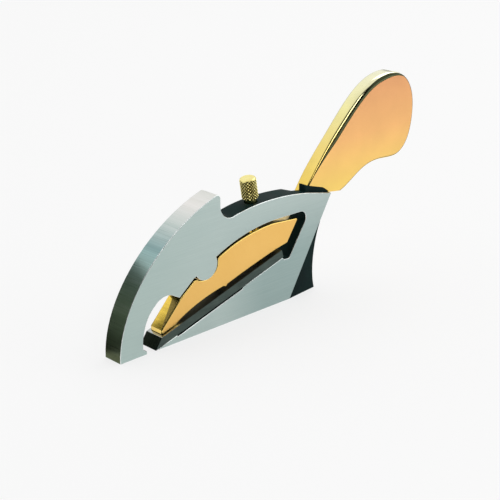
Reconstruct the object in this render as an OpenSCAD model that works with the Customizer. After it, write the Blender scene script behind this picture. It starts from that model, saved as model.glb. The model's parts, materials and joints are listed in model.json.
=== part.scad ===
// Shoulder plane in millimetres.
// A one-piece steel body carries a thick bevel-up blade on a low bed.  A brass lever
// cap rocks on a round boss of the body: its knurled clamp screw jacks the tail up
// against the blade, which presses the nose down near the cutting edge.  A brass
// tote is lapped on a tongue of the body.
// The toe points to -X, the heel to +X and the sole is the plane z = 0.  The origin
// is the middle of the sole.

/* [Body] */
// Width of the sole and of the body between its ground sides
body_w = 12.7; // [10:0.1:20]
// Distance from the toe to the mouth
toe_l = 18; // [15:0.5:22]
// Distance from the toe to the upright edge of the horn
horn_x = 71.2; // [66:0.2:76]
// Height of the horn's tip
horn_h = 76.8; // [72:0.2:84]
// Height of the top edge at the foot of the horn
notch_h = 61.2; // [59:0.1:64]
// Radius of the notch behind the horn
notch_r = 8.2; // [5:0.1:9]
// Height of the top edge beside the clamp screw
crown_h = 64.1; // [62:0.1:70]
// Height of the top edge at the front of the tote
seat_h = 61.2; // [58:0.1:64]
// Slope of the near half of the tote's seat, down to the rear top corner
seat_angle = 13.1; // [10:0.1:16]
// Slope of the rear edge of the ground sides
rear_angle = 59.3; // [56:0.1:64]
// Thickness of the web between the blade's pocket and the rear edge
rear_web = 15.8; // [12:0.1:20]
// Length of the relieved heel behind the ground sides
heel_reach = 22.9; // [18:0.1:28]
// Height where the heel leaves the rear edge
heel_top = 41.5; // [36:0.5:46]
// Angle by which each side of the heel draws in
heel_taper = 7; // [3:0.5:9]

/* [Bed and mouth] */
// Slope of the blade's bed
bed_angle = 16; // [14:0.5:18]
// Opening of the mouth ahead of the cutting edge
mouth_gap = 6; // [5:0.1:8]
// Blunt tip of the bed behind the cutting edge
bed_lip = 2; // [1.5:0.1:3]
// Distance along the bed from the cutting edge to its relief
relief_start = 15.6; // [12:0.1:20]
// Length of the relief in the bed
relief_l = 50.3; // [40:0.1:60]
// Depth of the relief in the bed
relief_d = 1; // [0.5:0.1:2]
// Depth of the pocket behind the blade, below the bed
pocket_d = 3; // [2:0.1:4]
// Clearance between the tail of the lever cap and the rear wall of the window
pocket_gap = 4.6; // [4:0.1:7]
// Radius of the rear top corner of the window
corner_r = 4.3; // [2.5:0.1:5]

/* [Blade] */
// Thickness of the blade
blade_t = 4.76; // [4:0.01:6]
// Length of the blade from its cutting edge to its square end
blade_l = 99.1; // [94:0.1:106]
// Angle of the bevel, which faces up
bevel_angle = 39; // [32:0.5:45]

/* [Lever cap] */
// Width of the lever cap
lever_w = 9.4; // [8.5:0.1:9.9]
// Radius of the boss on which the lever cap rocks
boss_r = 8; // [7.5:0.1:8.5]
// Distance along the blade from the cutting edge to the boss
boss_s = 45.7; // [43:0.1:48]
// Height of the middle of the boss above the blade
boss_rise = 21.7; // [21:0.1:22.5]
// Distance along the blade from the cutting edge to the nose
nose_s = 7.4; // [6.5:0.1:9]
// Thickness of the nose
nose_h = 2.6; // [2:0.1:3.5]
// Length of the foot that bears on the blade
foot_l = 10.2; // [8:0.1:11.5]
// Length of the tail behind the end of the blade
tail_over = 6.5; // [5:0.1:9]
// Height of the tail
tail_h = 10.5; // [9.5:0.1:11.5]
// Slope of the tail's end and of the rear wall of the window
tail_angle = 56.3; // [53:0.1:60]
// Space between the lever cap and the roof of the window
roof_gap = 2.6; // [2:0.1:3.2]

/* [Clamp screw] */
// Diameter of the thread
screw_d = 5; // [4:0.1:5.6]
// Diameter of the plain neck under the knob
neck_d = 6.4; // [6:0.1:6.8]
// Distance along the blade from the cutting edge to the foot of the screw
screw_s = 86.3; // [84:0.1:90]
// Angle between the screw and a square to the blade
screw_lean = 6.2; // [4:0.1:8]
// Length of neck that shows between the body and the knob
neck_show = 2.2; // [1.6:0.1:6]
// Diameter of the knurled knob
knob_d = 9.5; // [8.5:0.1:13]
// Length of the knurled knob
knob_l = 12; // [9:0.1:16]
// Chamfer at both ends of the knob
knob_chamfer = 0.8; // [0.4:0.1:1.2]
// Diameter of the swivel pad under the screw
pad_d = 4.4; // [3.6:0.1:4.6]
// Length of the swivel pad
pad_l = 2.8; // [2.4:0.1:4]
// Diameter of the pivot by which the screw turns in the pad
pivot_d = 2; // [1.5:0.1:2.4]
// Length of that pivot
pivot_l = 1.6; // [1.2:0.1:1.8]

/* [Tote] */
// Thickness of the tote at its seat
tote_t = 8.4; // [7.6:0.1:9.6]
// Angle by which each face of the tote leans out
tote_flare = 1.3; // [0.5:0.1:1.8]
// Reach of the tote's foot behind the rear top corner
foot_reach = 10.9; // [9:0.1:13]
// Drop of the tote's foot below the rear top corner
foot_drop = 1.6; // [0.8:0.1:2.4]
// Length of the near half of the seat on the body
seat_l = 19.8; // [18:0.1:22]
// Depth of the far half of the seat below the near half, at its front
lap_drop = 1.8; // [1.2:0.1:3]
// Slope of the far half of the seat
lap_angle = 20; // [18:0.5:22]
// Reach of the tote behind the front of its seat
tote_reach = 92.4; // [80:0.1:105]
// Rise of the tote above the front of its seat
tote_rise = 57.7; // [48:0.1:68]
// Thickness of the tongue in the lap joint
tongue_t = 5; // [4.4:0.1:5.6]
// Height of the tongue above the near half of the seat, at its front
tongue_h = 4; // [3.6:0.1:5]
// Diameter of the two countersunk screws through the lap joint
lap_screw_d = 2.5; // [2:0.1:3]
// Diameter of their heads
lap_head_d = 4.6; // [4:0.1:5]
// Length of those screws
lap_screw_l = 7; // [6:0.1:8]
// Distance from the front of the seat to the front screw
lap_screw_x = 4.6; // [4:0.1:6]
// Distance between the two screws
lap_screw_pitch = 8; // [6:0.1:9]

/* [Fits] */
// Gap under each bearing face that slides or lets go: bed, foot and pad
seat_gap = 0.1; // [0.05:0.01:0.2]
// Radial clearance of the boss, the threads and the pivot
turn_gap = 0.05; // [0.02:0.01:0.08]
// Radial clearance of the neck in the body
neck_gap = 0.7; // [0.6:0.05:0.9]

/* [Hidden] */

STEEL = [0.66, 0.73, 0.73];
IRON = [0.34, 0.37, 0.38];
BRASS = [0.91, 0.73, 0.42];
BRIGHT_BRASS = [0.94, 0.80, 0.46];
SCREW_STEEL = [0.30, 0.32, 0.33];

CURVE_STEPS = 16;
FILLET_STEPS = 5;
PAST = 1;
FAR = 200;
$fn = 64;

// ---------------------------------------------------------------- curve helpers

function unit(v) = v / norm(v);

function bezier(a, b, c, d, steps = CURVE_STEPS) = [
  for (i = [0:steps])
    let (t = i / steps, u = 1 - t)
      u * u * u * a + 3 * u * u * t * b + 3 * u * t * t * c + t * t * t * d
];

function arc(centre, r, from, to, steps = CURVE_STEPS) = [
  for (i = [0:steps])
    let (a = from + (to - from) * i / steps)
      centre + r * [cos(a), sin(a)]
];

// The corner at p between the points before and after it, rounded to radius r.
function fillet(before, p, after, r) =
  let (
    u = unit(before - p),
    v = unit(after - p),
    half = acos(u * v) / 2,
    centre = p + unit(u + v) * r / sin(half),
    from = p + u * r / tan(half) - centre,
    to = p + v * r / tan(half) - centre,
    a = atan2(from[1], from[0]),
    turn = atan2(to[1], to[0]) - a,
    sweep = turn > 180 ? turn - 360 : turn < -180 ? turn + 360 : turn
  )
    arc(centre, r, a, a + sweep, FILLET_STEPS);

// Where the line through p along u meets the line through q along v.
function meet(p, u, q, v) =
  let (w = q - p)
    p + u * (w[0] * v[1] - w[1] * v[0]) / (u[0] * v[1] - u[1] * v[0]);

// An upright plate of thickness w, centred on the plane y = 0, cut to a side view.
module slab(w) {
  rotate([90, 0, 0])
    linear_extrude(height = w, center = true)
      children();
}

// ---------------------------------------------------------------- bed and blade

// Side views below are drawn from the toe.  Along the bed, a point is given by its
// distance s from the cutting edge and its height above the bed.
edge_x = toe_l + mouth_gap;
along = [cos(bed_angle), sin(bed_angle)];
above = [-sin(bed_angle), cos(bed_angle)];
blade_top = blade_t + seat_gap;
cap_floor = blade_top + seat_gap;

function from_toe(p) = [edge_x, 0] + p[0] * along + p[1] * above;

module on_bed() {
  translate([edge_x, 0, 0])
    rotate([0, -bed_angle, 0])
      children();
}

arris_s = blade_t / tan(bevel_angle);

// ---------------------------------------------------------------- lever cap

boss_c = [boss_s, blade_top + boss_rise];
tail_lift = 0.55;
tail_lean = tail_angle - bed_angle;
tail_low = [blade_l + tail_over, blade_top + tail_lift];
tail_high = tail_low + (tail_h - tail_lift) / sin(tail_lean) * 1.02 * [cos(tail_lean), sin(tail_lean)];

// The front slope of the lever cap and the round of its back.
brow_low = boss_c + [-21.1, -9.3];
brow_high = boss_c + [-9.1, -4.5];
back = [
  boss_c + [10, -1.2],
  boss_c + [21.1, 0.7],
  boss_c + [36.7, 0.7],
  [tail_high[0] - 18.6, tail_high[1] + 7.1]
];
brow_normal = unit([brow_low[1] - brow_high[1], brow_high[0] - brow_low[0]]);

// The small land under the middle of the lever cap, and the hollows beside it.
land_s = boss_s + 10.4;
land_lift = 1;

lever_outline = concat(
  [
    [nose_s, cap_floor],
    [nose_s + 0.7, cap_floor + nose_h]
  ],
  fillet([nose_s + 0.7, cap_floor + nose_h], brow_low, brow_high, 12),
  fillet(brow_low, brow_high, boss_c + [-5, -4.3], 0.6),
  [boss_c + [-5, -4.3], boss_c + [4, -1.4]],
  fillet(boss_c + [4, -1.4], back[0], back[1], 0.4),
  [for (p = bezier(back[0], back[1], back[2], back[3])) if (p[0] > back[0][0] + 0.6) p],
  fillet(back[3], tail_high, tail_low, 1),
  fillet(tail_high, tail_low, tail_low + [-14, 1.8], 0.5),
  bezier(
    tail_low + [-6, 0.6],
    tail_low + [-18, 1.2],
    [land_s + 15, blade_top + 2.2],
    [land_s + 1.5, blade_top + 1.7]
  ),
  [
    [land_s + 0.6, blade_top + land_lift],
    [land_s - 0.6, blade_top + land_lift]
  ],
  bezier(
    [land_s - 1.5, blade_top + 2.1],
    [land_s - 12, blade_top + 3.4],
    [nose_s + foot_l + 11, blade_top + 3.6],
    [nose_s + foot_l, cap_floor]
  )
);

// ---------------------------------------------------------------- clamp screw

module on_screw() {
  on_bed()
    translate([screw_s, 0, blade_top])
      rotate([0, screw_lean, 0])
        children();
}

screw_tilt = bed_angle - screw_lean;
screw_foot_z = from_toe([screw_s, blade_top])[1];
roof_z = from_toe(back[2] + [0, roof_gap])[1];
knob_z = (crown_h - screw_foot_z) / cos(screw_tilt) + neck_show;
neck_z = (roof_z - screw_foot_z) / cos(screw_tilt);

// ---------------------------------------------------------------- window

wall_dir = [cos(tail_lean), sin(tail_lean)];
wall_point = tail_low + pocket_gap * [sin(tail_lean), -cos(tail_lean)];
roof_end = back[3] + [0, roof_gap];
roof_corner = meet(roof_end, [cos(-16.9), sin(-16.9)], wall_point, wall_dir);
pocket_low = meet([0, -pocket_d], [1, 0], wall_point, wall_dir);
bed_end = blade_l - 0.7;
wall_low = brow_low + roof_gap * brow_normal;
wall_high = brow_high + roof_gap * brow_normal;

// The part of the window over the bed, in bed coordinates.  It and the throat run into
// each other, so that their corners come from crossing edges.
bed_window = concat(
  [
    [-PAST, 0],
    [relief_start, 0],
    [relief_start + 0.5, -relief_d],
    [relief_start + relief_l - 0.5, -relief_d],
    [relief_start + relief_l, 0],
    [bed_end, 0]
  ],
  fillet([bed_end, 0], [bed_end + 0.6, -pocket_d / 2], pocket_low, 0.8),
  fillet([bed_end + 0.6, -pocket_d / 2], pocket_low, roof_corner, 2),
  fillet(pocket_low, roof_corner, roof_end, corner_r),
  [
    for (i = [CURVE_STEPS:-1:0])
      bezier(back[0] + [-1.3, 0], back[1], back[2], back[3])[i] + [0, roof_gap]
  ],
  [boss_c + [4, 0.6], boss_c + [-5, -1.5]],
  fillet(boss_c + [-5, -1.5], wall_high, wall_low, 0.6),
  [wall_low + 2 * unit(wall_low - wall_high), [relief_start, blade_t], [-PAST, 3]]
);

// The throat ahead of the blade, measured from the toe.
wall_foot = from_toe(wall_low);
throat_end = wall_foot + [-3.5, 1.9];
throat = concat(
  [[toe_l, -PAST]],
  [[toe_l, 1.8]],
  fillet([toe_l, 1.8], [toe_l - 2.4, 3.4], [toe_l - 2.5, 8], 1),
  bezier([toe_l - 2.5, 6], [toe_l - 2.3, 13], [toe_l + 0.2, 21], [toe_l + 6, 25.5]),
  bezier(
    [toe_l + 6.4, 25.8],
    [toe_l + 10, 29.8],
    [toe_l + 16.5, 30],
    throat_end
  ),
  [
    wall_foot + 0.5 * (wall_foot - throat_end),
    from_toe([relief_start + 5, 1]),
    [edge_x + bed_lip, 2],
    [edge_x + bed_lip, -PAST]
  ]
);

// ---------------------------------------------------------------- body outline

pocket_point = from_toe(pocket_low);
rear_h = seat_h - seat_l * tan(seat_angle);
ground_l = pocket_point[0] + rear_web - pocket_point[1] / tan(rear_angle);
sole_l = ground_l + heel_reach;
rear_top = [ground_l + rear_h / tan(rear_angle), rear_h];
heel_start = [ground_l + heel_top / tan(rear_angle), heel_top];
seat_front = [rear_top[0] - seat_l, seat_h];
notch_c = [horn_x + notch_r, notch_h + notch_r];
NOTCH_END = 278;
notch_end = notch_c + notch_r * [cos(NOTCH_END), sin(NOTCH_END)];
crown_pull = (8 * crown_h - notch_h - seat_h) / 6;

body_outline = concat(
  bezier([0, 0], [0, 35], [horn_x - 38, horn_h - 10.1], [horn_x - 1, horn_h], 24),
  fillet([horn_x - 8, horn_h - 1.8], [horn_x, horn_h - 0.2], [horn_x, notch_h], 0.8),
  arc(notch_c, notch_r, 180, NOTCH_END),
  bezier(
    notch_end,
    [notch_end[0] + 15, crown_pull],
    [seat_front[0] - 20, crown_pull],
    seat_front
  ),
  [rear_top],
  bezier(heel_start, heel_start - [4.1, 8.5], [sole_l - 5.4, 14], [sole_l, 0])
);

// ---------------------------------------------------------------- tote and joint

// The near half of the seat, and the tongue that stands on it behind the near face of
// the tote.
tongue_y = (tongue_t - tote_t) / 2;
lap_y = tongue_t - tote_t / 2;
function seat_z(x) = seat_h + (x - seat_front[0]) * (rear_h - seat_h) / seat_l;

tongue_front = seat_front + [0.2, 0];
tongue_knee = [rear_top[0] - 5, seat_z(rear_top[0] - 5) + tongue_h - 1.1];
tongue_brow = tongue_front + [0, tongue_h];
tongue_outline = [
  tongue_front + [0, -PAST],
  tongue_brow,
  tongue_knee,
  rear_top,
  rear_top + [-PAST, -PAST]
];

// The far half of the seat: a straight ramp from the crown down to the rear edge.
lap_front = seat_front - [0, lap_drop];
lap_dir = [cos(lap_angle), -sin(lap_angle)];
lap_end = meet(lap_front, lap_dir, rear_top, [cos(rear_angle), sin(rear_angle)]);
lap_outline = [
  lap_front - 60 * lap_dir,
  lap_end + PAST * lap_dir,
  rear_top + [10, 10],
  lap_front + [-60, 60]
];

// Outline of the tote: points are shares of its reach and rise from the seat's front.
// It runs on below the seat, and the seat then trims it.
function tote_at(u, v) = seat_front + [u * tote_reach, v * tote_rise];
tote_foot = rear_top + [foot_reach, -foot_drop];
waist = tote_at(0.435, -0.047);
tote_outline = concat(
  [tote_at(-0.11, -0.256)],
  bezier(tote_at(0, 0), tote_at(0.088, 0.205), tote_at(0.219, 0.438), tote_at(0.392, 0.707)),
  rest(tote_at(0.392, 0.707), tote_at(0.511, 0.886), tote_at(0.61, 0.995), tote_at(0.755, 0.995)),
  rest(tote_at(0.755, 0.995), tote_at(0.9, 0.995), tote_at(0.997, 0.82), tote_at(0.997, 0.551)),
  rest(tote_at(0.997, 0.551), tote_at(0.997, 0.291), tote_at(0.944, 0.088), tote_at(0.814, 0.088)),
  rest(tote_at(0.814, 0.088), tote_at(0.749, 0.088), tote_at(0.706, 0.107), tote_at(0.641, 0.1)),
  rest(tote_at(0.641, 0.1), tote_at(0.505, 0.087), waist, tote_foot),
  [tote_foot + 2 * (tote_foot - waist)]
);

// A curve without its first point, to follow another.
function rest(a, b, c, d) = [for (i = [1:CURVE_STEPS]) bezier(a, b, c, d)[i]];

// What the seat trims off: the ramp and the foot right across, and the tongue's top
// line in the near half.
near_trim = [
  [seat_front[0] - 30, tongue_brow[1]],
  tongue_brow,
  tongue_knee,
  rear_top,
  tote_foot,
  tote_foot + [20, -20],
  [seat_front[0] - 30, 0]
];
seat_trim = [
  lap_front - 60 * lap_dir,
  lap_end,
  tote_foot,
  tote_foot + [20, -20],
  [seat_front[0] - 60, 0]
];

// The middle of the lap, between the ramp and the top of the tongue, at a distance x
// behind the front of the seat.
function lap_middle(x) =
  let (
    top = meet(tongue_brow, tongue_knee - tongue_brow, [tongue_front[0] + x, 0], [0, 1]),
    low = meet(lap_front, lap_dir, [tongue_front[0] + x, 0], [0, 1])
  )
    (top + low) / 2;
lap_screws = [lap_middle(lap_screw_x), lap_middle(lap_screw_x + lap_screw_pitch)];
function tote_face_y(z) = tote_t / 2 + (z - seat_h) * tan(tote_flare);

// ---------------------------------------------------------------- placing

module placed() {
  translate([-sole_l / 2, 0, 0])
    children();
}

// The side faces of the heel draw in from the rear edge of the ground sides.
module heel_cutters() {
  for (side = [-1, 1])
    translate([ground_l, side * body_w / 2, 0])
      rotate([0, 90 - rear_angle, 0])
        rotate([0, 0, -side * heel_taper])
          translate([0, side > 0 ? 0 : -body_w, -FAR / 2])
            cube([FAR, body_w, FAR]);
}

// Along a screw of the lap joint, from its point towards its head in the far cheek.
module on_lap_screw(at) {
  translate([at[0], tote_face_y(at[1]) - lap_screw_l - 0.2, at[1]])
    rotate([-90, 0, 0])
      children();
}

module lap_screw_shape(gap) {
  head_h = (lap_head_d - lap_screw_d) / 2;
  cylinder(h = lap_screw_l - head_h, r = lap_screw_d / 2 + gap);
  translate([0, 0, lap_screw_l - head_h])
    cylinder(h = head_h, r1 = lap_screw_d / 2 + gap, r2 = lap_head_d / 2 + gap);
}

// ---------------------------------------------------------------- sub-parts

// One casting: ground sides, sole and toe; the rest keeps its dark skin.
module body() {
  color(STEEL)
    placed()
      difference() {
        union() {
          difference() {
            slab(body_w)
              polygon(body_outline);
            translate([0, lap_y + body_w / 2, 0])
              slab(body_w)
                polygon(lap_outline);
            heel_cutters();
            slab(body_w + 2 * PAST)
              polygon(throat);
            on_bed()
              slab(body_w + 2 * PAST)
                polygon(bed_window);
          }
          on_bed()
            translate([boss_c[0], 0, boss_c[1]])
              rotate([90, 0, 0])
                cylinder(h = body_w, r = boss_r, center = true);
          translate([0, tongue_y, 0])
            slab(tongue_t)
              polygon(tongue_outline);
        }
        on_screw()
          translate([0, 0, neck_z - 4])
            cylinder(h = knob_z + knob_l - neck_z + 4, d = neck_d + 2 * neck_gap);
        for (at = lap_screws)
          on_lap_screw(at)
            translate([0, 0, -0.3])
              cylinder(h = lap_screw_l, r = lap_screw_d / 2 + turn_gap);
      }
}

// Thick iron on the bed, bevel up, its sides flush with the ground sides.
module blade() {
  color(IRON)
    placed()
      on_bed()
        slab(body_w)
          polygon([
            [0, seat_gap],
            [blade_l, seat_gap],
            [blade_l, blade_top],
            [arris_s, blade_top]
          ]);
}

// Rocks on the boss; the threaded bore near its tail takes the clamp screw.
module lever_cap() {
  color(BRASS)
    placed()
      difference() {
        on_bed()
          slab(lever_w)
            polygon(lever_outline);
        on_bed()
          translate([boss_c[0], 0, boss_c[1]])
            rotate([90, 0, 0])
              cylinder(h = lever_w + 2 * PAST, r = boss_r + turn_gap, center = true);
        on_screw()
          cylinder(h = boss_rise + roof_gap + 10, d = screw_d + 2 * turn_gap);
      }
}

// Turned in one piece: pivot, thread, neck and knurled knob.
module clamp_screw() {
  color(BRIGHT_BRASS)
    placed()
      on_screw() {
        translate([0, 0, pad_l - pivot_l])
          cylinder(h = pivot_l + PAST, d = pivot_d);
        translate([0, 0, pad_l + turn_gap])
          cylinder(h = neck_z - pad_l - turn_gap, d = screw_d);
        translate([0, 0, neck_z])
          cylinder(h = knob_z - neck_z, d = neck_d);
        translate([0, 0, knob_z])
          cylinder(h = knob_chamfer, d1 = knob_d - 2 * knob_chamfer, d2 = knob_d);
        translate([0, 0, knob_z + knob_chamfer])
          cylinder(h = knob_l - 2 * knob_chamfer, d = knob_d);
        translate([0, 0, knob_z + knob_l - knob_chamfer])
          cylinder(h = knob_chamfer, d1 = knob_d, d2 = knob_d - 2 * knob_chamfer);
      }
}

// Swivel pad: its face lies flat on the blade while the screw turns in it.
module thrust_pad() {
  color(BRASS)
    placed()
      difference() {
        on_screw()
          translate([0, 0, -PAST])
            cylinder(h = pad_l + PAST, d = pad_d);
        on_screw()
          translate([0, 0, pad_l - pivot_l - turn_gap])
            cylinder(h = pivot_l + PAST, d = pivot_d + 2 * turn_gap);
        on_bed()
          translate([0, -body_w, -blade_t])
            cube([FAR, 2 * body_w, blade_t + cap_floor]);
      }
}

// Brass plate, lapped over the tongue and standing on the seat behind it.
module tote() {
  color(BRASS)
    placed()
      difference() {
        slab(2 * body_w)
          polygon(tote_outline);
        for (side = [-1, 1])
          translate([0, side * tote_t / 2, seat_h])
            rotate([-side * tote_flare, 0, 0])
              translate([0, side > 0 ? 0 : -2 * body_w, -FAR])
                cube([2 * FAR, 2 * body_w, 2 * FAR]);
        translate([0, lap_y - body_w / 2, 0])
          slab(body_w)
            polygon(near_trim);
        slab(2 * body_w)
          polygon(seat_trim);
        for (at = lap_screws)
          on_lap_screw(at) {
            lap_screw_shape(turn_gap);
            translate([0, 0, lap_screw_l])
              cylinder(h = PAST, r = lap_head_d / 2 + turn_gap);
          }
      }
}

// Slotted countersunk screw, through the far cheek of the tote into the tongue.
module tote_screw(at) {
  color(SCREW_STEEL)
    placed()
      on_lap_screw(at)
        difference() {
          lap_screw_shape(0);
          translate([-lap_head_d, -0.35, lap_screw_l - 0.7])
            cube([2 * lap_head_d, 0.7, PAST]);
        }
}

module tote_screw_front() {
  tote_screw(lap_screws[0]);
}

module tote_screw_rear() {
  tote_screw(lap_screws[1]);
}

body();
blade();
lever_cap();
clamp_screw();
thrust_pad();
tote();
tote_screw_front();
tote_screw_rear();
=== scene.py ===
"""Looks of the shoulder plane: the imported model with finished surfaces, in a plain studio.

Lengths are in metres, in the frame of the solids: the toe points to -X and the sole is at Z 0.
"""

import json
import math

import bmesh
import bpy
from mathutils import Matrix, Vector


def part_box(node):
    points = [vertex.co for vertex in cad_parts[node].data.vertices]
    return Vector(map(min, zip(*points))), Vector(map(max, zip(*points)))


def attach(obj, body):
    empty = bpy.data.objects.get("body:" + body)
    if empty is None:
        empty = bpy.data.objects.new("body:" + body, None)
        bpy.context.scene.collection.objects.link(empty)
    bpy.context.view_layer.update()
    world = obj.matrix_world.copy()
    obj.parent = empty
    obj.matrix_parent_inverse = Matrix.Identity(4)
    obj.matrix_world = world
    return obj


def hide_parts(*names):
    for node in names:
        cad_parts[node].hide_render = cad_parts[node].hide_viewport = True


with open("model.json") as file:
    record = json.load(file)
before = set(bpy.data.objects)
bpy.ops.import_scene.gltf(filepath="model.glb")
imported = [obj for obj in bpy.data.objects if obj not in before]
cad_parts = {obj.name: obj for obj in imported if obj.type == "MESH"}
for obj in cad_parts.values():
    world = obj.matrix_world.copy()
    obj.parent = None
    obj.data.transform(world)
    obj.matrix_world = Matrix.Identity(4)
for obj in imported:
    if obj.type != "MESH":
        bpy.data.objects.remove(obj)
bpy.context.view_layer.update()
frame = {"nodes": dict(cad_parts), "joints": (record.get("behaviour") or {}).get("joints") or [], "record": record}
NODES = frame["nodes"]
JOINTS = {joint["name"]: joint for joint in frame["joints"]}

MM = 0.001
X, Y, Z = range(3)
WHITE = (1.0, 1.0, 1.0)

BODY_LOW, BODY_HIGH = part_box("body")
TOTE_LOW, TOTE_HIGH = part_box("tote")
TOE_X = BODY_LOW[X]
REAR_X = BODY_HIGH[X]
SIDE_Y = BODY_HIGH[Y]
HORN_Z = BODY_HIGH[Z]

# The tote's seat on the body, and the corner of the tote's foot behind it
SEAT_MIDDLE = Vector((TOE_X + 148 * MM, 0, 61.2 * MM))
SEAT_HALF = 9.9 * MM
TOTE_FOOT_X = TOE_X + 168.8 * MM


def spread(low, high, steps):
    """Evenly spaced values from low to high, both included."""
    return [low + (high - low) * i / steps for i in range(steps + 1)]


def add_object(name, data):
    made = bpy.data.objects.new(name, data)
    bpy.context.scene.collection.objects.link(made)
    return made


# ---------------------------------------------------------------- shader nodes

# Most of a noise texture's values lie between these two
NOISE_LOW, NOISE_HIGH = 0.3, 0.7

# Depth of fine scratches in ground metal
SCRATCH = 0.004 * MM

# How the scratches lie in side view: along the blade's bed, and down the slope of the cap's nose
BED_ANGLE = math.radians(16)
NOSE_ANGLE = math.radians(-40)


class Wiring:
    """Short calls for the nodes of one tree, which start from one kind of coordinates."""

    def __init__(self, tree, coordinates):
        self.tree = tree
        self.texture_coords = self.node("ShaderNodeTexCoord")
        self.coords = self.texture_coords.outputs[coordinates]

    def node(self, kind):
        return self.tree.nodes.new(kind)

    def link(self, source, target):
        self.tree.links.new(source, target)

    def feed(self, socket, value):
        """Sets a socket to a number or a colour, or links another node's output to it."""
        if isinstance(value, (int, float)):
            socket.default_value = value
        elif isinstance(value, tuple):
            socket.default_value = (*value, 1)
        else:
            self.link(value, socket)

    def part(self, vector, axis):
        """One of the three numbers of a vector."""
        node = self.node("ShaderNodeSeparateXYZ")
        self.link(vector, node.inputs[0])
        return node.outputs[axis]

    def along(self, axis):
        return self.part(self.coords, axis)

    def span(self, value, low, high, to_low, to_high):
        """value from low to high becomes to_low to to_high."""
        node = self.node("ShaderNodeMapRange")
        node.inputs["From Min"].default_value = low
        node.inputs["From Max"].default_value = high
        node.inputs["To Min"].default_value = to_low
        node.inputs["To Max"].default_value = to_high
        self.link(value, node.inputs["Value"])
        return node.outputs["Result"]

    def math(self, operation, a, b):
        node = self.node("ShaderNodeMath")
        node.operation = operation
        self.feed(node.inputs[0], a)
        self.feed(node.inputs[1], b)
        return node.outputs["Value"]

    def vector(self, operation, a, b=None):
        node = self.node("ShaderNodeVectorMath")
        node.operation = operation
        self.link(a, node.inputs[0])
        if b is not None:
            node.inputs[1].default_value = b
        return node.outputs["Value" if operation in ("LENGTH", "DOT_PRODUCT") else "Vector"]

    def ramp(self, value, stops):
        """Colours in place of a value: each stop is (value, colour)."""
        node = self.node("ShaderNodeValToRGB")
        elements = node.color_ramp.elements
        while len(elements) < len(stops):
            elements.new(0.5)
        for element, (position, color) in zip(elements, stops):
            element.position = position
            element.color = (*color, 1)
        self.link(value, node.inputs["Fac"])
        return node.outputs["Color"]

    def mix_shaders(self, factor, first, second):
        node = self.node("ShaderNodeMixShader")
        self.link(factor, node.inputs["Fac"])
        self.link(first.outputs[0], node.inputs[1])
        self.link(second.outputs[0], node.inputs[2])
        return node.outputs[0]


class Paint(Wiring):
    """A material with plain values, and short calls for the textures that take their place."""

    def __init__(self, name, color, roughness, metallic=0.0):
        self.material = bpy.data.materials.new(name)
        self.material.use_nodes = True
        super().__init__(self.material.node_tree, "Object")
        self.shader = self.tree.nodes["Principled BSDF"]
        self.shader.inputs["Base Color"].default_value = (*color, 1)
        self.shader.inputs["Roughness"].default_value = roughness
        self.shader.inputs["Metallic"].default_value = metallic

    def noise(self, scale, turn=0.0, detail=3, roughness=0.5):
        """Noise with scale features a metre on each axis, turned about Y by an angle."""
        place = self.node("ShaderNodeMapping")
        place.inputs["Scale"].default_value = scale
        place.inputs["Rotation"].default_value = (0, turn, 0)
        self.link(self.coords, place.inputs["Vector"])
        node = self.node("ShaderNodeTexNoise")
        node.inputs["Scale"].default_value = 1.0
        node.inputs["Detail"].default_value = detail
        node.inputs["Roughness"].default_value = roughness
        self.link(place.outputs["Vector"], node.inputs["Vector"])
        return node.outputs["Fac"]

    def grain(self, scale, roughness=0.5):
        """Noise that is the same in every direction."""
        return self.noise((scale, scale, scale), roughness=roughness)

    def between(self, noise, dark, bright, low=NOISE_LOW, high=NOISE_HIGH):
        """Two colours that a noise blends into each other."""
        return self.ramp(noise, [(low, dark), (high, bright)])

    def blend(self, factor, a, b, mode="MIX"):
        node = self.node("ShaderNodeMix")
        node.data_type = "RGBA"
        node.blend_type = mode
        self.feed(node.inputs[0], factor)
        self.feed(node.inputs[6], a)
        self.feed(node.inputs[7], b)
        return node.outputs[2]

    def sideways(self):
        """1 where the surface faces straight to either side of the plane, and 0 in its middle."""
        normal = self.texture_coords.outputs["Normal"]
        return self.math("ABSOLUTE", self.part(normal, Y), 0)

    def up_tote(self, tones):
        """Painted reflection tones that follow each other from the foot of the tote to its top."""
        return self.ramp(self.span(self.along(Z), TOTE_LOW[Z], TOTE_HIGH[Z], 0, 1), tones)

    def off(self, base):
        return self.vector("SUBTRACT", self.coords, tuple(base))

    def far_from(self, base, axis):
        """Distance from the line through base along the unit axis."""
        return self.vector("LENGTH", self.vector("CROSS_PRODUCT", self.off(base), tuple(axis)))

    def along_line(self, base, axis):
        """How far past base along the unit axis."""
        return self.vector("DOT_PRODUCT", self.off(base), tuple(axis))

    def color(self, socket):
        self.link(socket, self.shader.inputs["Base Color"])

    def roughness(self, socket):
        self.link(socket, self.shader.inputs["Roughness"])

    def roughness_by(self, noise, low, high):
        self.roughness(self.span(noise, NOISE_LOW, NOISE_HIGH, low, high))

    def bump(self, height, depth, strength=1.0):
        """Relief: height from 0 to 1 stands for depth in metres."""
        node = self.node("ShaderNodeBump")
        node.inputs["Distance"].default_value = depth
        node.inputs["Strength"].default_value = strength
        self.link(height, node.inputs["Height"])
        self.link(node.outputs["Normal"], self.shader.inputs["Normal"])


# ---------------------------------------------------------------- camera and studio

# The photograph's viewpoint, ahead of the toe and above it, and its lens in millimetres
VIEWPOINT = (-0.46863, -0.51434, 0.31327)
VIEW_AIM = (0.645409, 0.672000, -0.363131)
LENS = 98.84
SENSOR = 36

FLOOR_HALF = 6.0
FLOOR_DROP = 0.2 * MM
FLOOR_GREY = (0.86, 0.86, 0.86)
FLOOR_LIFT = 0.75

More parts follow.
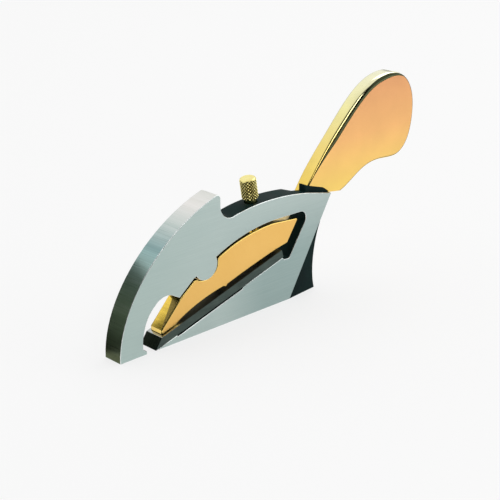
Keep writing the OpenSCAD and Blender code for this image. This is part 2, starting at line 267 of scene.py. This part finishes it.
# Brightness of the studio by height, from 0 at the horizon to 1 overhead
SKY = [(0.0, 0.12), (0.06, 0.20), (0.13, 0.70), (0.30, 0.94), (0.7, 0.95), (1.0, 0.86)]

# The way to the dark part of the studio, and the cosines from it where it starts and is full
DARK_WAY = (-0.45, -0.80, 0.40)
DARK_START, DARK_FULL = 0.62, 0.78
DARK_LEVEL = 0.05

# The arc of the near screen about the origin, in degrees from the X axis
NEAR_SCREEN_R = 0.85
NEAR_SCREEN_TURNS = spread(188, 290, 26)


def make_camera():
    data = bpy.data.cameras.new("camera")
    data.sensor_width = SENSOR
    data.lens = LENS
    camera = add_object("camera", data)
    camera.location = VIEWPOINT
    camera.rotation_euler = Vector(VIEW_AIM).to_track_quat("-Z", "Y").to_euler()
    bpy.context.scene.camera = camera


def make_floor():
    half = FLOOR_HALF
    mesh = bpy.data.meshes.new("floor")
    corners = [(-half, -half, 0), (half, -half, 0), (half, half, 0), (-half, half, 0)]
    mesh.from_pydata(corners, [], [(0, 1, 2, 3)])
    mesh.materials.append(floor_paint())
    floor = add_object("floor", mesh)
    floor.location.z = -FLOOR_DROP


def floor_paint():
    """Pale matt paint, lifted towards white where the camera or a glossy surface sees it."""
    paint = Paint("floor_paint", FLOOR_GREY, 0.9)
    ray = paint.node("ShaderNodeLightPath")
    seen = paint.math("MAXIMUM", ray.outputs["Is Camera Ray"], ray.outputs["Is Glossy Ray"])
    seen = paint.math("MAXIMUM", seen, ray.outputs["Is Transmission Ray"])
    white = paint.node("ShaderNodeEmission")
    white.inputs["Color"].default_value = (*WHITE, 1)
    lifted = paint.mix_shaders(paint.math("MULTIPLY", seen, FLOOR_LIFT), paint.shader, white)
    paint.link(lifted, paint.tree.nodes["Material Output"].inputs["Surface"])
    return paint.material


def make_world():
    """A white studio, dim at the horizon and dark on one side, which the camera sees as white."""
    world = bpy.data.worlds.new("studio")
    bpy.context.scene.world = world
    world.use_nodes = True
    world.node_tree.nodes.clear()
    wiring = Wiring(world.node_tree, "Generated")
    sky = wiring.ramp(wiring.along(Z), [(height, (level,) * 3) for height, level in SKY])
    toward_dark = wiring.vector("DOT_PRODUCT", wiring.coords, Vector(DARK_WAY).normalized())
    shade = wiring.span(toward_dark, DARK_START, DARK_FULL, 1.0, DARK_LEVEL)
    shade.node.interpolation_type = "SMOOTHSTEP"
    studio = wiring.node("ShaderNodeBackground")
    wiring.link(sky, studio.inputs["Color"])
    wiring.link(shade, studio.inputs["Strength"])
    white = wiring.node("ShaderNodeBackground")
    white.inputs["Color"].default_value = (*WHITE, 1)
    seen = wiring.node("ShaderNodeLightPath").outputs["Is Camera Ray"]
    out = wiring.node("ShaderNodeOutputWorld")
    wiring.link(wiring.mix_shaders(seen, studio, white), out.inputs["Surface"])


def make_screen(name, feet, top, tone, reflected_only=False):
    """A dark card standing on the floor, out of the camera's sight, for polished metal to show."""
    points = [(x, y, height) for x, y in feet for height in (0, top)]
    faces = [(2 * i, 2 * i + 2, 2 * i + 3, 2 * i + 1) for i in range(len(feet) - 1)]
    mesh = bpy.data.meshes.new(name)
    mesh.from_pydata(points, [], faces)
    mesh.materials.append(Paint(name + "_black", tone, 0.9).material)
    screen = add_object(name, mesh)
    screen.visible_camera = False
    screen.visible_diffuse = not reflected_only
    screen.visible_shadow = not reflected_only


def make_screens():
    """A low curved card behind the camera, and a small one that only the toe reflects."""
    turns = [math.radians(degrees) for degrees in NEAR_SCREEN_TURNS]
    behind_camera = [(math.cos(turn) * NEAR_SCREEN_R, math.sin(turn) * NEAR_SCREEN_R) for turn in turns]
    make_screen("near_screen", behind_camera, top=0.22, tone=(0.01, 0.01, 0.01))
    by_toe = [(-0.098, -0.006), (-0.060, 0.031)]
    make_screen("toe_screen", by_toe, top=0.068, tone=(0.07, 0.085, 0.06), reflected_only=True)


def make_lamp(name, place, target, size, level, up=(0, 0, 1)):
    """A flat soft lamp as bright as level, whatever its size, whose height runs along up."""
    data = bpy.data.lights.new(name, "AREA")
    data.shape = "RECTANGLE"
    data.size, data.size_y = size
    data.energy = level * math.pi * size[0] * size[1]
    lamp = add_object(name, data)
    aim = (Vector(target) - Vector(place)).normalized()
    across = aim.cross(Vector(up)).normalized()
    lamp.rotation_euler = Matrix((across, across.cross(aim), -aim)).transposed().to_euler()
    lamp.location = place
    lamp.visible_camera = False


def make_lamps():
    """A key from behind, a low fill from the right, and a strip that lines the tote's rim."""
    make_lamp("key", place=(0.98, 0.22, 1.20), target=(0, 0, 0.05), size=(1.2, 0.8), level=1.45)
    make_lamp("fill", place=(0.78, -0.82, 0.13), target=(0.03, 0, 0.04), size=(0.9, 0.24), level=2.0)
    place = (-0.18, -0.83, 0.84)
    tilt = (0.82, 0.20, 0.53)
    make_lamp("strip", place, target=(0.09, 0, 0.09), size=(0.22, 0.60), level=3.4, up=tilt)


# ---------------------------------------------------------------- materials


def ground_steel():
    """Surface-ground: fine scratches along the body, a faint mottle, and a painted reflection that darkens the
    lower rear.
    """
    paint = Paint("ground_steel", (0.47, 0.56, 0.54), 0.36, metallic=1.0)
    lines = paint.noise((40, 400, 3200), roughness=0.65)
    cloud = paint.noise((28, 28, 45))
    to_rear = [(0.0, (0.42, 0.575, 0.52)), (0.45, (0.475, 0.58, 0.545)), (1.0, (0.415, 0.50, 0.475))]
    tone = paint.ramp(paint.span(paint.along(X), TOE_X, REAR_X, 0, 1), to_rear)
    mottle = paint.between(cloud, (0.43, 0.53, 0.515), (0.50, 0.585, 0.56), low=0.25, high=0.75)
    base = paint.blend(0.5, tone, mottle)
    # Painted reflection: the side is blended towards a darker tone low down at the rear
    rearward = paint.span(paint.along(X), -5 * MM, 30 * MM, 0, 0.9)
    downward = paint.span(paint.along(Z), 28 * MM, 60 * MM, 1, 0)
    base = paint.blend(paint.math("MULTIPLY", rearward, downward), base, (0.265, 0.375, 0.36))
    scratches = paint.between(lines, (0.36, 0.44, 0.43), (0.60, 0.68, 0.66))
    paint.color(paint.blend(0.25, base, scratches))
    paint.roughness_by(lines, 0.30, 0.44)
    paint.bump(lines, SCRATCH)
    return paint.material


def toe_steel():
    """The ground curve of the toe: scratches run across it, and its tones change as it rises: a painted
    reflection, dark at the foot and light near the horn.
    """
    paint = Paint("toe_steel", (0.5, 0.55, 0.55), 0.33, metallic=1.0)
    lines = paint.noise((2200, 25, 2200), roughness=0.7)
    bands = paint.noise((260, 4, 260), detail=2)
    # Painted reflection: tones by height, from dark at the foot to light at the horn
    painted_reflection = [
        (0.05, (0.09, 0.11, 0.055)),
        (0.34, (0.54, 0.70, 0.52)),
        (0.55, (0.42, 0.57, 0.52)),
        (0.72, (0.27, 0.41, 0.41)),
        (0.85, (0.58, 0.65, 0.62)),
        (0.94, (0.84, 0.82, 0.79)),
        (1.0, (0.72, 0.73, 0.69)),
    ]
    tone = paint.ramp(paint.span(paint.along(Z), 0.0, HORN_Z, 0, 1), painted_reflection)
    scratches = paint.between(lines, (0.10, 0.11, 0.11), (0.95, 0.96, 0.96))
    tone = paint.blend(0.22, tone, scratches, "OVERLAY")
    bars = paint.between(bands, (0.25, 0.25, 0.25), (0.8, 0.8, 0.8), low=0.35, high=0.65)
    paint.color(paint.blend(0.12, tone, bars, "OVERLAY"))
    paint.roughness_by(lines, 0.26, 0.42)
    paint.bump(lines, SCRATCH)
    return paint.material


def dark_skin():
    """The casting's own skin: near black, with a sandy grain."""
    paint = Paint("dark_skin", (0.012, 0.018, 0.020), 0.5)
    paint.shader.inputs["Specular IOR Level"].default_value = 0.04
    sand = paint.grain(2300, roughness=0.6)
    cloud = paint.grain(90)
    paint.color(paint.between(cloud, (0.004, 0.015, 0.015), (0.008, 0.027, 0.025)))
    paint.roughness_by(cloud, 0.42, 0.56)
    paint.bump(sand, 0.04 * MM, 0.8)
    return paint.material


def bright_edge():
    """Arrises where the grinding and wear leave polished steel."""
    paint = Paint("bright_edge", (0.66, 0.70, 0.69), 0.22, metallic=1.0)
    wear = paint.grain(500)
    paint.color(paint.between(wear, (0.66, 0.71, 0.70), (0.86, 0.90, 0.89), low=0.35, high=0.65))
    paint.roughness_by(wear, 0.16, 0.32)
    return paint.material


def blade_steel():
    """Dark ground steel, with its scratches along the bed."""
    paint = Paint("blade_steel", (0.05, 0.06, 0.06), 0.34, metallic=1.0)
    lines = paint.noise((30, 30, 2400), turn=BED_ANGLE, roughness=0.6)
    cloud = paint.grain(120)
    base = paint.between(cloud, (0.040, 0.058, 0.052), (0.075, 0.105, 0.090))
    scratches = paint.between(lines, (0.03, 0.037, 0.035), (0.13, 0.165, 0.15))
    paint.color(paint.blend(0.3, base, scratches))
    paint.roughness_by(lines, 0.28, 0.44)
    paint.bump(lines, SCRATCH)
    return paint.material


def honed_steel():
    """The bevel of the blade, its dark colour a painted reflection of dark surroundings."""
    paint = Paint("honed_steel", (0.12, 0.14, 0.12), 0.2, metallic=1.0)
    lines = paint.noise((60, 1500, 60), roughness=0.6)
    # Painted reflection: the bevel is coloured dark
    paint.color(paint.between(lines, (0.07, 0.09, 0.075), (0.15, 0.18, 0.155)))
    paint.roughness_by(lines, 0.14, 0.26)
    paint.bump(lines, 0.75 * SCRATCH)
    return paint.material


def lapped_steel():
    """The blade's upper face: nearly a mirror behind its bevel, and further back rougher, with its colour darkened
    to near black as painted shade.
    """
    paint = Paint("lapped_steel", (0.5, 0.52, 0.5), 0.12, metallic=1.0)
    lines = paint.noise((60, 1500, 60), roughness=0.6)
    nose_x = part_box("lever_cap")[0][X]
    dull = paint.span(paint.along(X), nose_x + 10 * MM, nose_x + 14 * MM, 0, 1)
    bright = paint.between(lines, (0.42, 0.44, 0.43), (0.54, 0.56, 0.54))
    # Painted shade: further back the face is coloured near black
    paint.color(paint.blend(dull, bright, (0.055, 0.065, 0.065)))
    smooth = paint.span(lines, NOISE_LOW, NOISE_HIGH, 0.08, 0.18)
    paint.roughness(paint.math("ADD", smooth, paint.math("MULTIPLY", dull, 0.25)))
    return paint.material


def filed_brass_painted_reflection():
    """The flank beside the cap's nose: left from the file, with streaks along its slope, and a darker olive tone
    that is a painted reflection of the dark throat above.
    """
    paint = Paint("cap_flank", (0.4, 0.33, 0.14), 0.4, metallic=1.0)
    streaks = paint.noise((1800, 1800, 160), turn=NOSE_ANGLE, roughness=0.7)
    # Painted reflection: the flank's darker olive tone
    paint.color(paint.between(streaks, (0.18, 0.13, 0.03), (0.70, 0.52, 0.15)))
    paint.roughness_by(streaks, 0.3, 0.5)
    paint.bump(streaks, 0.03 * MM)
    return paint.material


def satin_brass(name, low, high, painted_reflection=None):
    """Blasted or linished brass face with a fine grain; painted reflection tones tint it up the tote."""
    paint = Paint(name, low, 0.42, metallic=1.0)
    fine = paint.grain(1400, roughness=0.65)
    cloud = paint.grain(35)
    tone = paint.between(cloud, low, high)
    if painted_reflection:
        # Painted reflection: tones by height up the tote
        tone = paint.blend(1.0, tone, paint.up_tote(painted_reflection), "MULTIPLY")
    paint.color(tone)
    paint.roughness_by(fine, 0.36, 0.50)
    paint.bump(fine, 2 * SCRATCH)
    return paint.material


# The dark line painted along the tote's rim as a painted reflection: how far sideways the rim faces
# where the line starts, from this share of the tote's height to its top
LINE_SHARE = 0.64
LINE_STARTS = (0.90, 0.62)
LINE_BLUR = 0.04
PAINTED_LINE_TONE = (0.05, 0.06, 0.03)


def painted_rim_line(paint, tone):
    """A dark line painted where the tote's rim turns into its face as a painted reflection, which widens towards
    the top.
    """
    low = TOTE_LOW[Z] + LINE_SHARE * (TOTE_HIGH[Z] - TOTE_LOW[Z])
    start = paint.span(paint.along(Z), low, TOTE_HIGH[Z], *LINE_STARTS)
    past = paint.math("SUBTRACT", paint.sideways(), start)
    return paint.blend(paint.span(past, 0, LINE_BLUR, 0, 1), tone, PAINTED_LINE_TONE)


def polished_brass(name, color, roughness, painted_reflection=None):
    """Bright brass; on the tote, painted reflection tones tint it upwards and a dark line of painted reflection
    parts it from the face.
    """
    paint = Paint(name, color, roughness, metallic=1.0)
    cloud = paint.grain(120)
    lines = paint.noise((900, 30, 900), detail=2)
    dull = tuple(0.9 * part for part in color)
    tone = paint.between(cloud, dull, color)
    if painted_reflection:
        tone = paint.blend(1.0, tone, paint.up_tote(painted_reflection), "MULTIPLY")
        # Painted reflection: a dark line along the tote's rim
        tone = painted_rim_line(paint, tone)
    paint.color(tone)
    paint.roughness_by(lines, 0.7 * roughness, 1.5 * roughness)
    return paint.material


def black_steel():
    """Blackened screws, worn a little bright."""
    paint = Paint("black_steel", (0.05, 0.05, 0.055), 0.35, metallic=1.0)
    wear = paint.grain(900)
    paint.color(paint.between(wear, (0.035, 0.037, 0.04), (0.12, 0.12, 0.125), low=0.35, high=0.75))
    paint.roughness_by(wear, 0.28, 0.45)
    return paint.material


# ---------------------------------------------------------------- pieces from the solids

# What counts as one point, as no edge, and as flat, smooth or sharp where two faces meet
SAME_POINT = 0.002 * MM
SHORTEST_EDGE = 0.04 * MM
FLAT = math.radians(0.3)
SMOOTH = math.radians(28)
SHARP = math.radians(30)


def dressed(node, name, materials, pick=None, reshape=None):
    """A copy of a node's shape with whole faces, which stands for the node."""
    mesh = bpy.data.meshes.new(name)
    shape = bmesh.new()
    shape.from_mesh(NODES[node].data)
    bmesh.ops.remove_doubles(shape, verts=shape.verts, dist=SAME_POINT)
    for _ in range(2):
        bmesh.ops.dissolve_degenerate(shape, dist=SHORTEST_EDGE, edges=shape.edges)
        bmesh.ops.dissolve_limit(shape, angle_limit=FLAT, verts=shape.verts, edges=shape.edges)
    shape.normal_update()
    if reshape:
        reshape(shape)
        shape.normal_update()
    for face in shape.faces:
        face.smooth = True
        face.material_index = pick(face) if pick else 0
    for edge in shape.edges:
        edge.smooth = edge.calc_face_angle(0) < SMOOTH
    shape.to_mesh(mesh)
    shape.free()
    for material in materials:
        mesh.materials.append(material)
    piece = add_object(name, mesh)
    stand_for(piece, node)
    return piece


def stand_for(piece, node):
    """The piece takes the node's place, on its body."""
    record = frame["record"]
    bodies = record["behaviour"]["bodies"]
    body = next(body for body, members in bodies.items() if node in members)
    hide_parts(node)
    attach(piece, body)


def break_edges(piece, width, segments=2, material=-1, weighted=False, angle=SHARP):
    """Rounds the edges that have a bevel weight, or else those sharper than an angle."""
    bevel = piece.modifiers.new("broken_edges", "BEVEL")
    bevel.width = width
    bevel.segments = segments
    bevel.limit_method = "WEIGHT" if weighted else "ANGLE"
    bevel.angle_limit = angle
    bevel.material = material
    bevel.use_clamp_overlap = False
    bevel.harden_normals = True
    bevel.miter_outer = "MITER_ARC"


def weigh_edges(piece, weight_of):
    """Sets how much of the bevel's width each edge gets, by its two faces and its middle."""
    shape = bmesh.new()
    shape.from_mesh(piece.data)
    shape.normal_update()
    layer = shape.edges.layers.float.new("bevel_weight_edge")
    for edge in shape.edges:
        if len(edge.link_faces) == 2:
            middle = (edge.verts[0].co + edge.verts[1].co) / 2
            edge[layer] = weight_of(edge.link_faces[0], edge.link_faces[1], middle)
    shape.to_mesh(piece.data)
    shape.free()


def is_side(face):
    """Whether the face is one of the two broad flat sides of the cap or the tote."""
    return abs(face.normal.y) > 0.99 and abs(face.calc_center_median().y) > 3 * MM


# ---------------------------------------------------------------- body

SKIN, SIDE, TOE, EDGE = range(4)

# The rounded tip of the horn, and how steeply the toe's curve reaches it
HORN_TIP_R = 2.4 * MM
HORN_SLOPE = math.radians(16.6)

# All of the toe's curve lies ahead of a line that rises from its foot this steeply
TOE_RISE = 1.05


def body_surface(face):
    """Which material: the ground sides and sole, the ground toe with its horn, or the skin."""
    normal = face.normal
    middle = face.calc_center_median()
    if abs(normal.y) > 0.999 and abs(middle.y) > SIDE_Y - 0.1 * MM:
        return SIDE
    if normal.z < -0.999 and middle.z < 0.1 * MM:
        return SIDE
    on_horn = middle.z > HORN_Z - 3.5 * MM and normal.z > 0.1
    ahead = middle.z > TOE_RISE * (middle.x - TOE_X) - 0.5 * MM
    on_curve = ahead and normal.x < 0.05 and normal.z > -0.05
    return TOE if abs(normal.y) < 0.1 and (on_horn or on_curve) else SKIN


def round_horn(shape):
    """Draws the tip of the horn over into one arc, from the toe's curve to the wall behind it."""
    near = 0.01 * MM
    top = max(vert.co.z for vert in shape.verts)
    peak_x = min(vert.co.x for vert in shape.verts if vert.co.z > top - near)
    high = [vert for vert in shape.verts if vert.co.z > top - 1.5 * MM]
    tip = [vert for vert in high if vert.co.x > peak_x - near]
    places = sorted({round(vert.co.x, 6) for vert in tip})
    center_x = places[-1] - HORN_TIP_R
    drop = HORN_TIP_R / math.cos(HORN_SLOPE)
    center_z = top + (center_x - peak_x) * math.tan(HORN_SLOPE) - drop
    for vert in tip:
        step = places.index(round(vert.co.x, 6)) / (len(places) - 1)
        angle = (math.pi / 2 + HORN_SLOPE) * (1 - step)
        vert.co.x = center_x + HORN_TIP_R * math.cos(angle)
        vert.co.z = center_z + HORN_TIP_R * math.sin(angle)


def body_weight(a, b, middle):
    """Only the sharp edges of the ground sides and sole are broken bright."""
    ground = SIDE in (a.material_index, b.material_index)
    return 1.0 if ground and a.normal.angle(b.normal, 0) > SHARP else 0.0


def make_body():
    materials = [dark_skin(), ground_steel(), toe_steel(), bright_edge()]
    body = dressed("body", "body_casting", materials, body_surface, round_horn)
    weigh_edges(body, body_weight)
    break_edges(body, 0.3 * MM, material=EDGE, weighted=True)
    break_edges(body, 0.1 * MM, angle=2 * SHARP)


# ---------------------------------------------------------------- blade

GROUND, BEVEL, LAPPED = range(3)


def blade_surface(face):
    """Which material: the bevel, the lapped upper face, or the ground rest."""
    if face.normal.x < -0.5 and face.normal.z > 0.2:
        return BEVEL
    return LAPPED if face.normal.z > 0.9 else GROUND


def make_blade():
    materials = [blade_steel(), honed_steel(), lapped_steel()]
    blade = dressed("blade", "blade_iron", materials, blade_surface)
    break_edges(blade, 0.15 * MM)


# ---------------------------------------------------------------- lever cap

FACE, RIM, FLANK, NOSE = range(4)

# The hook's inner wall is this close to the middle of the boss, and is drawn back from it
HOOK_REACH = 8.4 * MM
HOOK_GAP = 0.35 * MM
HOOK_GAP_BEHIND = 1.5 * MM

CAP_EDGE = 0.7 * MM


def drop_short_runs(shape):
    """Joins the closest points of the cap's two outlines, which its broken edges would fold over."""
    half = max(vert.co.y for vert in shape.verts)
    outline = [vert for vert in shape.verts if abs(vert.co.y) > half - 0.1 * MM]
    bmesh.ops.remove_doubles(shape, verts=outline, dist=CAP_EDGE / 2)


def open_hook(shape):
    """Draws the hook back from the boss, most behind it, so that the joint shows as a dark line."""
    pivot = Vector(JOINTS["lever_pivot"]["pos_m"])
    for vert in shape.verts:
        out = Vector((vert.co.x - pivot.x, 0, vert.co.z - pivot.z))
        if out.length < HOOK_REACH:
            out.normalize()
            vert.co += out * (HOOK_GAP + HOOK_GAP_BEHIND * max(0, out.x) ** 2)


def on_slope(face):
    """Whether the face is on the slope down to the cap's nose."""
    return face.normal.x < -0.5 and face.normal.z > 0.3


def cut_flank(shape):
    """Splits the nose's slope along a line from its near foot to past the middle of its top."""
    slope = max(filter(on_slope, shape.faces), key=lambda face: face.calc_area())
    near = sorted((vert for vert in slope.verts if vert.co.y < 0), key=lambda vert: vert.co.z)
    foot, top = near[0], near[-1]
    edges = [edge for edge in top.link_edges if edge in slope.edges]
    across = next(edge for edge in edges if edge.other_vert(top).co.y > 0)
    _, middle = bmesh.utils.edge_split(across, top, 0.6)
    bmesh.utils.face_split(slope, foot, middle)


def reshape_cap(shape):
    drop_short_runs(shape)
    open_hook(shape)
    cut_flank(shape)


def cap_surface(face):
    """Which material: the flat faces, the two halves of the nose's slope, or the rim."""
    if is_side(face):
        return FACE
    if on_slope(face):
        return FLANK if len(face.verts) == 3 else NOSE
    return RIM


def cap_weight(a, b, middle):
    """Only the edges round the two flat faces are broken."""
    return 0.0 if is_side(a) == is_side(b) else 1.0


def make_lever_cap():
    face = satin_brass("cap_brass", (0.89, 0.545, 0.155), (0.92, 0.575, 0.175))
    rim = polished_brass("cap_rim", (0.93, 0.67, 0.19), 0.16)
    nose = polished_brass("cap_nose", (1.0, 0.70, 0.115), 0.2)
    materials = [face, rim, filed_brass_painted_reflection(), nose]
    cap = dressed("lever_cap", "lever_cap_brass", materials, cap_surface, reshape_cap)
    weigh_edges(cap, cap_weight)
    break_edges(cap, CAP_EDGE, segments=4, material=RIM, weighted=True)


# ---------------------------------------------------------------- tote and its screws

# How wide the tote's edges are rounded: ahead and on top, by the seat, behind, and at the screws
TOTE_WIDEST = 3.3 * MM
TOTE_BY_SEAT = 1.1 * MM
TOTE_BEHIND = 0.8 * MM
TOTE_AT_SCREW = 0.1 * MM

# Painted reflection tones from the foot of the tote to its top, of its faces and of its polished rim
FACE_REFLECTION_TONES = [
    (0.1, (1.0, 0.70, 0.19)),
    (0.5, (0.95, 0.53, 0.205)),
    (0.8, (0.81, 0.42, 0.18)),
    (0.95, (0.77, 0.38, 0.17)),
]
RIM_REFLECTION_TONES = [
    (0.05, (0.95, 0.66, 0.11)),
    (0.45, (0.97, 0.76, 0.24)),
    (0.75, (0.97, 0.90, 0.42)),
    (1.0, (0.97, 0.95, 0.66)),
]

TOTE_SCREWS = ("tote_screw_front", "tote_screw_rear")


def at_screw(place):
    """Whether a place in the tote is in the hole of one of its screws."""
    for node in TOTE_SCREWS:
        low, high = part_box(node)
        gap = place - (low + high) / 2
        if math.hypot(gap.x, gap.z) < (high - low).x / 2 + 0.15 * MM:
            return True
    return False


def tote_rounding(middle, normal):
    """Width of the rounding at an edge of the rim, from its middle and the rim's normal there.

    It grows away from the seat, and narrows where the rim faces the rear or the underside.
    """
    from_seat = middle - SEAT_MIDDLE
    past_seat = max(0, math.hypot(from_seat.x, from_seat.z) - SEAT_HALF)
    full = min(TOTE_WIDEST, TOTE_BY_SEAT + past_seat / 10)
    forward = min(1, max(0, (0.5 - normal.x) / 0.7))
    upward = min(1, max(0, (0.6 + normal.z) / 0.6))
    return TOTE_BEHIND + (full - TOTE_BEHIND) * forward * upward


def tote_weight(a, b, middle):
    """Rounds the edges round the two flat faces, but leaves the seat sharp."""
    if is_side(a) == is_side(b):
        return 0.0
    rim = b if is_side(a) else a
    place = rim.calc_center_median()
    if at_screw(place):
        return TOTE_AT_SCREW / TOTE_WIDEST
    on_seat = rim.normal.z < -0.85 and place.x < TOTE_FOOT_X
    return 0.0 if on_seat else tote_rounding(middle, rim.normal) / TOTE_WIDEST


def tote_surface(face):
    return FACE if is_side(face) else RIM


def make_tote():
    face = satin_brass("tote_brass", (0.9, 0.9, 0.9), WHITE, painted_reflection=FACE_REFLECTION_TONES)
    rim = polished_brass("tote_rim", WHITE, 0.10, painted_reflection=RIM_REFLECTION_TONES)
    tote = dressed("tote", "tote_plate", [face, rim], tote_surface)
    weigh_edges(tote, tote_weight)
    break_edges(tote, TOTE_WIDEST, segments=8, material=RIM, weighted=True)


def make_tote_screws():
    steel = black_steel()
    for node in TOTE_SCREWS:
        break_edges(dressed(node, node + "_steel", [steel]), 0.12 * MM)


# ---------------------------------------------------------------- clamp screw and its pad

# Distances along the screw's axis start at the pad's face on the blade
THREAD_LOW, THREAD_HIGH = 3.4 * MM, 22.6 * MM
KNURL_LOW, KNURL_HIGH = 39.0 * MM, 49.5 * MM

THREAD_R = 2.5 * MM
THREAD_PITCH = 0.8 * MM
THREAD_DEPTH = 0.42 * MM
THREAD_STEPS = 150

# The knurl: ridges that climb the knob both ways and cross in diamonds, with as many steps
# from one ridge to the next round the knob as along it
KNOB_R = 4.75 * MM
KNURLS = 16
KNURL_DEPTH = 0.55 * MM
KNURL_STEPS = 22
STEPS_PER_RIDGE = 4

CREASE = math.radians(24)


def ridge(phase):
    """1 on the crest and 0 in the groove, once a turn of phase."""
    return abs(2 * (phase % 1.0) - 1)


def thread(distance):
    """The ring of the thread at a distance along the axis."""
    def radius(turn):
        wave = ridge(distance / THREAD_PITCH - turn)
        return THREAD_R - THREAD_DEPTH * min(1, max(0, 1.35 * wave - 0.2))

    return distance, radius


def knurl(step, distance):
    """The ring of the knurl at a step of its rows, at a distance along the axis."""
    def radius(turn):
        one_way = ridge(KNURLS * turn + step / STEPS_PER_RIDGE)
        other_way = ridge(KNURLS * turn - step / STEPS_PER_RIDGE)
        return KNOB_R - KNURL_DEPTH * (1 - min(1, 1.5 * min(one_way, other_way)))

    return distance, radius


def plain(*corners):
    """Round rings at the corners of a turned stretch: (distance, radius) in millimetres."""
    return [(distance * MM, lambda turn, r=radius * MM: r) for distance, radius in corners]


def screw_rings():
    """The clamp screw from its pivot in the pad to the top of its knob."""
    rings = plain((1.2, 0.95), (1.25, 1.0), (2.85, 1.0), (2.851, 1.9), (3.3, 2.1))
    rings += [thread(distance) for distance in spread(THREAD_LOW, THREAD_HIGH, THREAD_STEPS)]
    rings += plain((22.8, 2.1), (23.29, 2.1), (23.30, 3.05), (23.45, 3.2), (38.0, 3.2))
    rings += plain((38.36, 3.25), (38.37, 3.95), (38.9, 4.45))
    rows = enumerate(spread(KNURL_LOW, KNURL_HIGH, KNURL_STEPS))
    rings += [knurl(step, distance) for step, distance in rows]
    rings += plain((49.62, 4.62), (50.1, 4.35), (50.37, 3.9), (50.37, 1.5))
    return rings


def turned(name, rings, around, base, axis):
    """A closed lathe piece: each ring is (distance along the axis, radius at a turn)."""
    side = Vector((0, 1, 0))
    other = axis.cross(side)
    points = [base + axis * rings[0][0]]
    for distance, radius in rings:
        for turn in spread(0, 1, around)[:-1]:
            angle = 2 * math.pi * turn
            out = side * math.cos(angle) + other * math.sin(angle)
            points.append(base + axis * distance + out * radius(turn))
    points.append(base + axis * rings[-1][0])
    mesh = bpy.data.meshes.new(name)
    mesh.from_pydata(points, [], lathe_faces(len(rings), around))
    shape = bmesh.new()
    shape.from_mesh(mesh)
    split_along_grooves(shape, base, axis)
    bmesh.ops.recalc_face_normals(shape, faces=shape.faces)
    for face in shape.faces:
        face.smooth = True
    for edge in shape.edges:
        edge.smooth = edge.calc_face_angle(0) < CREASE
    shape.to_mesh(mesh)
    shape.free()
    return add_object(name, mesh)


def lathe_faces(count, around):
    """Faces over rings of points, with a fan at either end round the first and the last point."""
    last = 1 + count * around
    faces = []
    for i in range(around):
        j = (i + 1) % around
        faces.append((0, 1 + j, 1 + i))
        faces.append((last, last - around + i, last - around + j))
    for low in range(1, last - around, around):
        for i in range(around):
            j = (i + 1) % around
            faces.append((low + i, low + j, low + around + j, low + around + i))
    return faces


def split_along_grooves(shape, base, axis):
    """Cuts each bent quad along its lower diagonal, so that grooves keep a crisp bottom."""
    def radius(vert):
        return axis.cross(vert.co - base).length

    for face in [face for face in shape.faces if len(face.verts) == 4]:
        a, b, c, d = face.verts
        bend = radius(a) + radius(c) - radius(b) - radius(d)
        if abs(bend) > 0.001 * MM:
            ends = (a, c) if bend < 0 else (b, d)
            bmesh.utils.face_split(face, *ends)


def knurled_brass(base, axis):
    """Polished brass whose knurled grooves are coloured near black and rougher, as painted shade."""
    paint = Paint("screw_brass", (0.94, 0.78, 0.32), 0.2, metallic=1.0)
    depth = paint.far_from(base, axis)
    along = paint.along_line(base, axis)
    above = paint.math("GREATER_THAN", along, KNURL_LOW - 0.2 * MM)
    below = paint.math("LESS_THAN", along, KNURL_HIGH + 0.2 * MM)
    # Painted shade: the grooves of the knurl are coloured near black
    cut = paint.span(depth, KNOB_R - 0.41 * MM, KNOB_R - 0.23 * MM, 1, 0)
    groove = paint.math("MULTIPLY", cut, paint.math("MULTIPLY", above, below))
    bare_brass = paint.between(paint.grain(300), (0.92, 0.78, 0.27), (0.97, 0.88, 0.36))
    paint.color(paint.blend(groove, bare_brass, (0.03, 0.02, 0.004)))
    paint.roughness(paint.span(groove, 0, 1, 0.20, 0.6))
    return paint.material


def make_clamp_screw():
    joint = JOINTS["screw_spin"]
    base = Vector(joint["pos_m"])
    axis = -Vector(joint["axis"]).normalized()
    around = STEPS_PER_RIDGE * KNURLS
    screw = turned("clamp_screw_brass", screw_rings(), around, base, axis)
    screw.data.materials.append(knurled_brass(base, axis))
    stand_for(screw, "clamp_screw")


def make_thrust_pad():
    brass = polished_brass("pad_brass", (0.88, 0.68, 0.30), 0.25)
    pad = dressed("thrust_pad", "thrust_pad_brass", [brass])
    break_edges(pad, 0.15 * MM)


# ---------------------------------------------------------------- scene


make_camera()
make_floor()
make_world()
make_screens()
make_lamps()
bpy.context.scene.view_settings.view_transform = "Standard"

make_body()
make_blade()
make_lever_cap()
make_clamp_screw()
make_thrust_pad()
make_tote()
make_tote_screws()
